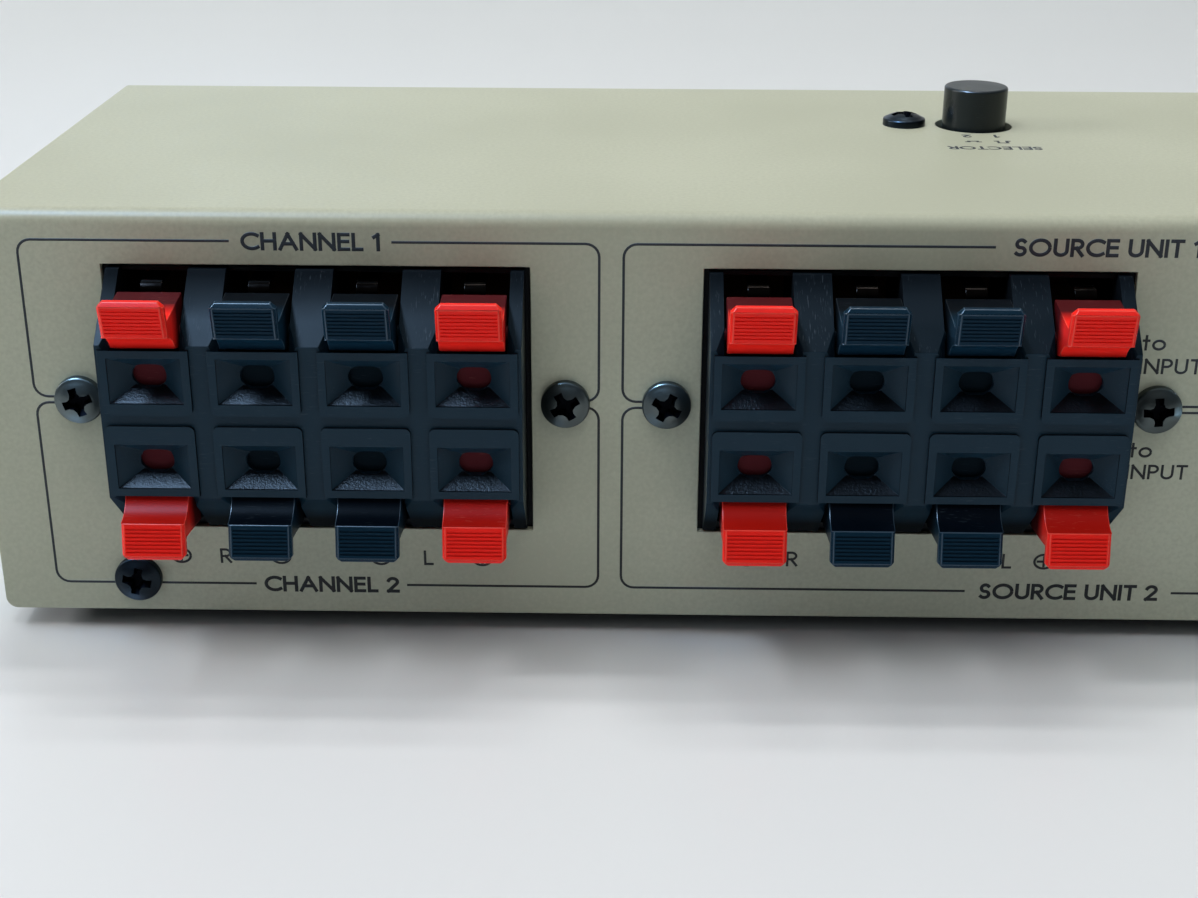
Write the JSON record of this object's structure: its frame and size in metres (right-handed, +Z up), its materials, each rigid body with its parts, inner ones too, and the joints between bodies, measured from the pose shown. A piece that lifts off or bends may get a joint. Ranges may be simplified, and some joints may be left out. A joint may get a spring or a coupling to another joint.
{
  "type": "amplifier selector switch",
  "caption": "Low sheet-metal selector box with spring-clip wire terminals and phono sockets on one face and round push buttons on top, on rubber feet.",
  "frame": {"origin": "on the table, under the middle of the part's box", "axes": "+X along the terminal face from left to right as one looks at it, +Y from that face into the case, +Z up"},
  "size_m": [0.27, 0.0972, 0.0654],
  "materials": {
    "cream_enamel": "fine-textured baked enamel",
    "black_enamel": "satin baked enamel",
    "foot_rubber": "moulded rubber",
    "zinc_steel": "bright zinc plate",
    "black_screw": "black zinc plate, glossy",
    "terminal_black": "moulded, semi-gloss with worn edges",
    "lever_black": "moulded, semi-gloss",
    "lever_red": "moulded, glossy",
    "phenolic_board": "laminated paper board",
    "spring_bronze": "rolled phosphor bronze strip",
    "spring_steel": "drawn music wire",
    "button_black": "moulded, glossy",
    "plunger_white": "moulded nylon",
    "switch_black": "moulded phenolic",
    "nickel_plate": "nickel plate",
    "socket_red": "moulded",
    "socket_white": "moulded"
  },
  "bodies": {
    "case": {"cover": "cream_enamel", "base_plate": "black_enamel", "feet": "foot_rubber", "foot_screws": "zinc_steel", "base_screws": "black_screw", "terminal_screws": "black_screw", "top_screws": "black_screw", "jack_screws": "black_screw", "terminal_nuts": "zinc_steel", "terminal_body_1": "terminal_black", "terminal_body_2": "terminal_black", "terminal_back_1": "phenolic_board", "terminal_back_2": "phenolic_board", "switch_bracket": "zinc_steel", "switch_pin_bases": "phenolic_board", "jack_plates": "phenolic_board", "jack_sleeves": "nickel_plate", "jack_contacts": "nickel_plate", "jack_inserts_red": "socket_red", "jack_inserts_white": "socket_white", "clip_spring_1_top_1": "spring_bronze", "clip_spring_1_top_2": "spring_bronze", "clip_spring_1_top_3": "spring_bronze", "clip_spring_1_top_4": "spring_bronze", "clip_spring_1_low_1": "spring_bronze", "clip_spring_1_low_2": "spring_bronze", "clip_spring_1_low_3": "spring_bronze", "clip_spring_1_low_4": "spring_bronze", "clip_spring_2_top_1": "spring_bronze", "clip_spring_2_top_2": "spring_bronze", "clip_spring_2_top_3": "spring_bronze", "clip_spring_2_top_4": "spring_bronze", "clip_spring_2_low_1": "spring_bronze", "clip_spring_2_low_2": "spring_bronze", "clip_spring_2_low_3": "spring_bronze", "clip_spring_2_low_4": "spring_bronze", "switch_spring_1": "spring_steel", "switch_body_1": "switch_black", "switch_spring_2": "spring_steel", "switch_body_2": "switch_black"},
    "lever_1_top_1": {"lever_1_top_1": "lever_red"},
    "lever_1_top_2": {"lever_1_top_2": "lever_black"},
    "lever_1_top_3": {"lever_1_top_3": "lever_black"},
    "lever_1_top_4": {"lever_1_top_4": "lever_red"},
    "lever_1_low_1": {"lever_1_low_1": "lever_red"},
    "lever_1_low_2": {"lever_1_low_2": "lever_black"},
    "lever_1_low_3": {"lever_1_low_3": "lever_black"},
    "lever_1_low_4": {"lever_1_low_4": "lever_red"},
    "lever_2_top_1": {"lever_2_top_1": "lever_red"},
    "lever_2_top_2": {"lever_2_top_2": "lever_black"},
    "lever_2_top_3": {"lever_2_top_3": "lever_black"},
    "lever_2_top_4": {"lever_2_top_4": "lever_red"},
    "lever_2_low_1": {"lever_2_low_1": "lever_red"},
    "lever_2_low_2": {"lever_2_low_2": "lever_black"},
    "lever_2_low_3": {"lever_2_low_3": "lever_black"},
    "lever_2_low_4": {"lever_2_low_4": "lever_red"},
    "button_1": {"button_cap_1": "button_black", "plunger_1": "plunger_white"},
    "button_2": {"button_cap_2": "button_black", "plunger_2": "plunger_white"}
  },
  "joints": [
    {"name": "lever_1_top_1_press", "type": "hinge", "parent": "case", "child": "lever_1_top_1", "pos_m": [-0.11025, -0.04082, 0.0452], "axis": [1, 0, 0], "range_deg": [0, 12], "stiffness_Nm_per_rad": 0.08, "springref_deg": -8.59, "deforming": ["clip_spring_1_top_1"]},
    {"name": "lever_1_top_2_press", "type": "hinge", "parent": "case", "child": "lever_1_top_2", "pos_m": [-0.09655, -0.04082, 0.0452], "axis": [1, 0, 0], "range_deg": [0, 12], "stiffness_Nm_per_rad": 0.08, "springref_deg": -8.59, "deforming": ["clip_spring_1_top_2"]},
    {"name": "lever_1_top_3_press", "type": "hinge", "parent": "case", "child": "lever_1_top_3", "pos_m": [-0.08285, -0.04082, 0.0452], "axis": [1, 0, 0], "range_deg": [0, 12], "stiffness_Nm_per_rad": 0.08, "springref_deg": -8.59, "deforming": ["clip_spring_1_top_3"]},
    {"name": "lever_1_top_4_press", "type": "hinge", "parent": "case", "child": "lever_1_top_4", "pos_m": [-0.06915, -0.04082, 0.0452], "axis": [1, 0, 0], "range_deg": [0, 12], "stiffness_Nm_per_rad": 0.08, "springref_deg": -8.59, "deforming": ["clip_spring_1_top_4"]},
    {"name": "lever_1_low_1_press", "type": "hinge", "parent": "case", "child": "lever_1_low_1", "pos_m": [-0.11025, -0.04082, 0.0228], "axis": [-1, 0, 0], "range_deg": [0, 12], "stiffness_Nm_per_rad": 0.08, "springref_deg": -8.59, "deforming": ["clip_spring_1_low_1"]},
    {"name": "lever_1_low_2_press", "type": "hinge", "parent": "case", "child": "lever_1_low_2", "pos_m": [-0.09655, -0.04082, 0.0228], "axis": [-1, 0, 0], "range_deg": [0, 12], "stiffness_Nm_per_rad": 0.08, "springref_deg": -8.59, "deforming": ["clip_spring_1_low_2"]},
    {"name": "lever_1_low_3_press", "type": "hinge", "parent": "case", "child": "lever_1_low_3", "pos_m": [-0.08285, -0.04082, 0.0228], "axis": [-1, 0, 0], "range_deg": [0, 12], "stiffness_Nm_per_rad": 0.08, "springref_deg": -8.59, "deforming": ["clip_spring_1_low_3"]},
    {"name": "lever_1_low_4_press", "type": "hinge", "parent": "case", "child": "lever_1_low_4", "pos_m": [-0.06915, -0.04082, 0.0228], "axis": [-1, 0, 0], "range_deg": [0, 12], "stiffness_Nm_per_rad": 0.08, "springref_deg": -8.59, "deforming": ["clip_spring_1_low_4"]},
    {"name": "lever_2_top_1_press", "type": "hinge", "parent": "case", "child": "lever_2_top_1", "pos_m": [-0.03335, -0.04082, 0.0452], "axis": [1, 0, 0], "range_deg": [0, 12], "stiffness_Nm_per_rad": 0.08, "springref_deg": -8.59, "deforming": ["clip_spring_2_top_1"]},
    {"name": "lever_2_top_2_press", "type": "hinge", "parent": "case", "child": "lever_2_top_2", "pos_m": [-0.01965, -0.04082, 0.0452], "axis": [1, 0, 0], "range_deg": [0, 12], "stiffness_Nm_per_rad": 0.08, "springref_deg": -8.59, "deforming": ["clip_spring_2_top_2"]},
    {"name": "lever_2_top_3_press", "type": "hinge", "parent": "case", "child": "lever_2_top_3", "pos_m": [-0.00595, -0.04082, 0.0452], "axis": [1, 0, 0], "range_deg": [0, 12], "stiffness_Nm_per_rad": 0.08, "springref_deg": -8.59, "deforming": ["clip_spring_2_top_3"]},
    {"name": "lever_2_top_4_press", "type": "hinge", "parent": "case", "child": "lever_2_top_4", "pos_m": [0.00775, -0.04082, 0.0452], "axis": [1, 0, 0], "range_deg": [0, 12], "stiffness_Nm_per_rad": 0.08, "springref_deg": -8.59, "deforming": ["clip_spring_2_top_4"]},
    {"name": "lever_2_low_1_press", "type": "hinge", "parent": "case", "child": "lever_2_low_1", "pos_m": [-0.03335, -0.04082, 0.0228], "axis": [-1, 0, 0], "range_deg": [0, 12], "stiffness_Nm_per_rad": 0.08, "springref_deg": -8.59, "deforming": ["clip_spring_2_low_1"]},
    {"name": "lever_2_low_2_press", "type": "hinge", "parent": "case", "child": "lever_2_low_2", "pos_m": [-0.01965, -0.04082, 0.0228], "axis": [-1, 0, 0], "range_deg": [0, 12], "stiffness_Nm_per_rad": 0.08, "springref_deg": -8.59, "deforming": ["clip_spring_2_low_2"]},
    {"name": "lever_2_low_3_press", "type": "hinge", "parent": "case", "child": "lever_2_low_3", "pos_m": [-0.00595, -0.04082, 0.0228], "axis": [-1, 0, 0], "range_deg": [0, 12], "stiffness_Nm_per_rad": 0.08, "springref_deg": -8.59, "deforming": ["clip_spring_2_low_3"]},
    {"name": "lever_2_low_4_press", "type": "hinge", "parent": "case", "child": "lever_2_low_4", "pos_m": [0.00775, -0.04082, 0.0228], "axis": [-1, 0, 0], "range_deg": [0, 12], "stiffness_Nm_per_rad": 0.08, "springref_deg": -8.59, "deforming": ["clip_spring_2_low_4"]},
    {"name": "button_1_press", "type": "slide", "parent": "case", "child": "button_1", "axis": [0, 0, -1], "range_m": [0, 0.0035], "stiffness_N_per_m": 400, "springref_m": -0.002, "deforming": ["switch_spring_1"]},
    {"name": "button_2_press", "type": "slide", "parent": "case", "child": "button_2", "axis": [0, 0, -1], "range_m": [0, 0.0035], "stiffness_N_per_m": 400, "springref_m": -0.002, "deforming": ["switch_spring_2"]}
  ]
}
